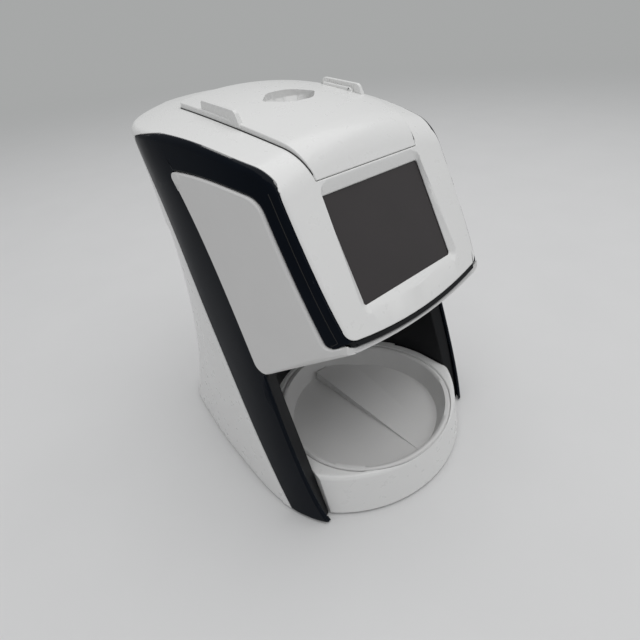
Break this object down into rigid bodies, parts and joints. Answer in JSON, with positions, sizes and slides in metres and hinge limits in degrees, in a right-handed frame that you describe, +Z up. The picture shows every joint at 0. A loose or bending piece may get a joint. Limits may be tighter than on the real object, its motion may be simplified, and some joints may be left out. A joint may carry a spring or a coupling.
{
  "type": "phosphor plate scanner",
  "caption": "Desktop scanner for dental imaging plates: leaning head with tilted screen, top mouth, black side bands and a round base with a lift-out tray.",
  "frame": {"origin": "on the table, under the middle of the scanner's outline", "axes": "+Z up, front and screen towards -Y, +X to the right as seen from the front"},
  "size_m": [0.1562, 0.1994, 0.2083],
  "materials": {
    "white_gloss": "glossy moulded white with a faint sheen",
    "white_satin": "satin moulded white",
    "black_gloss": "polished blue-black",
    "black_satin": "satin black",
    "dark_rubber": "matt black rubber",
    "screen_glass": "dark glossy glass",
    "screen_panel": "dark display panel",
    "green_board": "green circuit board",
    "steel_sheet": "bent sheet steel",
    "steel_rod": "ground steel",
    "aluminium": "milled aluminium",
    "black_anodised": "black anodised aluminium",
    "brass": "turned brass",
    "bronze": "sintered bronze",
    "motor_grey": "dark grey lacquer",
    "mirror_face": "coated mirror",
    "optical_glass": "clear optical glass",
    "clear_acrylic": "clear acrylic",
    "screw_steel": "zinc-plated steel",
    "magnet": "nickel-plated magnet",
    "button_white": "glossy white",
    "socket_black": "moulded black socket"
  },
  "bodies": {
    "housing": {"main_shell": "white_gloss", "side_inlay_left": "black_gloss", "side_inlay_right": "black_gloss", "belly_shell": "white_satin", "bezel_trim": "black_satin", "leg_liner": "black_satin", "base_puck": "white_gloss", "rear_shell": "white_gloss", "bottom_plate": "black_satin", "rubber_feet": "dark_rubber", "bottom_screws": "screw_steel", "screen_glass": "screen_glass", "lcd_panel": "screen_panel", "display_board": "green_board", "display_bracket": "steel_sheet", "chassis": "steel_sheet", "lower_block": "aluminium", "upper_block": "aluminium", "screw_bearings": "steel_rod", "guide_rods": "steel_rod", "stepper_motor": "motor_grey", "motor_bracket": "steel_sheet", "plate_guide": "black_satin", "optics_bench": "aluminium", "bench_posts": "steel_rod", "galvo_motor": "motor_grey", "laser_module": "brass", "laser_holder": "black_anodised", "scan_lens": "optical_glass", "lens_holder": "black_anodised", "light_guide": "clear_acrylic", "light_post": "black_anodised", "detector": "motor_grey", "detector_saddle": "black_anodised", "erase_board": "green_board", "main_board": "green_board", "board_standoffs": "brass", "heatsink": "black_anodised", "socket_board": "green_board", "socket_posts": "brass", "network_socket": "steel_sheet", "power_inlet": "socket_black", "button_switch": "socket_black"},
    "cover": {"top_cover": "white_gloss"},
    "tray": {"receiving_tray": "white_satin"},
    "button": {"power_button": "button_white"},
    "carriage": {"carriage": "black_anodised", "carriage_bushings": "bronze", "drive_nut": "brass", "plate_magnet": "magnet"},
    "screw": {"lead_screw": "steel_rod", "coupling": "aluminium", "motor_shaft": "steel_rod"},
    "mirror": {"mirror_shaft": "steel_rod", "scan_mirror": "mirror_face"}
  },
  "joints": [
    {"name": "cover_lift", "type": "slide", "parent": "housing", "child": "cover", "axis": [0, 0, 1], "range_m": [0, 0.03]},
    {"name": "tray_lift", "type": "slide", "parent": "housing", "child": "tray", "axis": [0, 0, 1], "range_m": [0, 0.025]},
    {"name": "button_press", "type": "slide", "parent": "housing", "child": "button", "axis": [0, -1, 0], "range_m": [0, 0.0015], "stiffness_N_per_m": 300, "springref_m": -0.0005},
    {"name": "carriage_travel", "type": "slide", "parent": "housing", "child": "carriage", "axis": [0, 0, -1], "range_m": [0, 0.056]},
    {"name": "screw_turn", "type": "hinge", "parent": "housing", "child": "screw", "pos_m": [0, 0.036, 0.1], "axis": [0, 0, 1], "range_deg": [-5, 2530]},
    {"name": "mirror_rock", "type": "hinge", "parent": "housing", "child": "mirror", "pos_m": [0, -0.036, 0.142], "axis": [0, 0, 1], "range_deg": [-10, 10]}
  ],
  "couplings": [
    {"joint": "screw_turn", "follows": "carriage_travel", "rad_per_m": 785.4}
  ]
}
